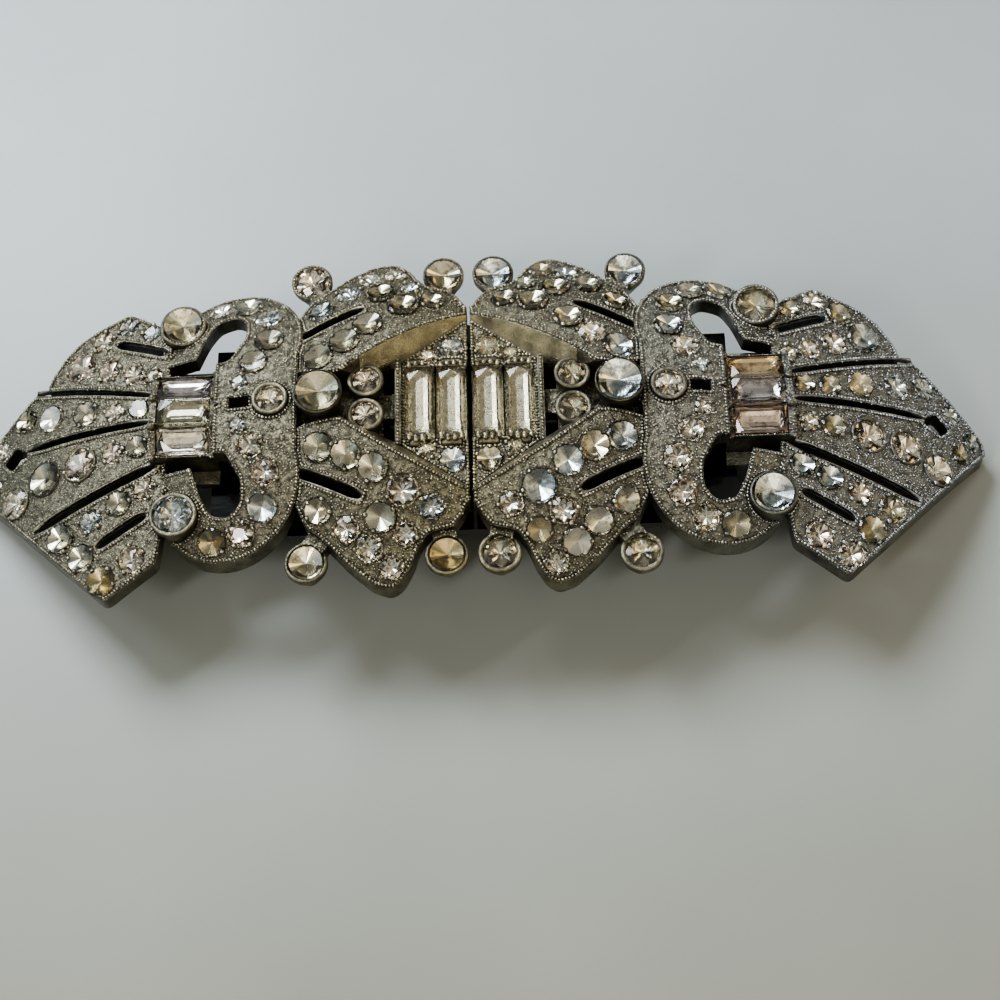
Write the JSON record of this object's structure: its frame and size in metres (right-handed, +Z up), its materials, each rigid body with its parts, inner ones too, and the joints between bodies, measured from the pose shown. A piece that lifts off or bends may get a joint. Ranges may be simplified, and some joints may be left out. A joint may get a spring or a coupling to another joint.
{
  "type": "double dress clip brooch",
  "caption": "Double dress clip brooch: two mirror-image pierced silver-tone clips set with foiled clear stones and baguettes, joined edge to edge on one frame.",
  "frame": {"origin": "centre of the outline on the surface that the brooch lies on, back down", "axes": "+X to the right along the length, +Y away from the viewer across the width, +Z up out of the front"},
  "size_m": [0.0884, 0.0306, 0.0152],
  "materials": {
    "clip_metal": "aged silver-tone cast metal, grainy between the stones, olive-brown in the recesses",
    "frame_metal": "dark polished plate",
    "back_metal": "plain satin",
    "clear_stone": "clear cut glass over aged silver and gold foil"
  },
  "bodies": {
    "root": {"clip_front_right": "clip_metal", "clip_front_left": "clip_metal", "brooch_frame": "frame_metal", "clip_back_right": "back_metal", "clip_back_left": "back_metal", "brooch_pin": "back_metal", "fan_stones_right": "clear_stone", "fan_stones_left": "clear_stone", "ribbon_stones_right": "clear_stone", "ribbon_stones_left": "clear_stone", "scroll_stones_right": "clear_stone", "scroll_stones_left": "clear_stone", "panel_stones_right": "clear_stone", "panel_stones_left": "clear_stone", "panel_baguette_1_right": "clear_stone", "panel_baguette_2_right": "clear_stone", "panel_baguette_1_left": "clear_stone", "panel_baguette_2_left": "clear_stone", "wrist_baguette_1_right": "clear_stone", "wrist_baguette_2_right": "clear_stone", "wrist_baguette_3_right": "clear_stone", "wrist_baguette_1_left": "clear_stone", "wrist_baguette_2_left": "clear_stone", "wrist_baguette_3_left": "clear_stone", "large_cup_stone_right": "clear_stone", "large_cup_stone_left": "clear_stone", "upper_pair_stone_right": "clear_stone", "upper_pair_stone_left": "clear_stone", "lower_pair_stone_right": "clear_stone", "lower_pair_stone_left": "clear_stone", "single_cup_stone_right": "clear_stone", "single_cup_stone_left": "clear_stone", "upper_inner_stone_right": "clear_stone", "upper_inner_stone_left": "clear_stone", "lower_inner_stone_right": "clear_stone", "lower_inner_stone_left": "clear_stone", "upper_outer_stone_right": "clear_stone", "upper_outer_stone_left": "clear_stone", "lower_outer_stone_right": "clear_stone", "lower_outer_stone_left": "clear_stone", "upper_scroll_stone_right": "clear_stone", "upper_scroll_stone_left": "clear_stone", "lower_scroll_stone_right": "clear_stone", "lower_scroll_stone_left": "clear_stone", "big_fan_stone_1_right": "clear_stone", "big_fan_stone_2_right": "clear_stone", "big_fan_stone_3_right": "clear_stone", "big_fan_stone_1_left": "clear_stone", "big_fan_stone_2_left": "clear_stone", "big_fan_stone_3_left": "clear_stone"}
  },
  "joints": []
}
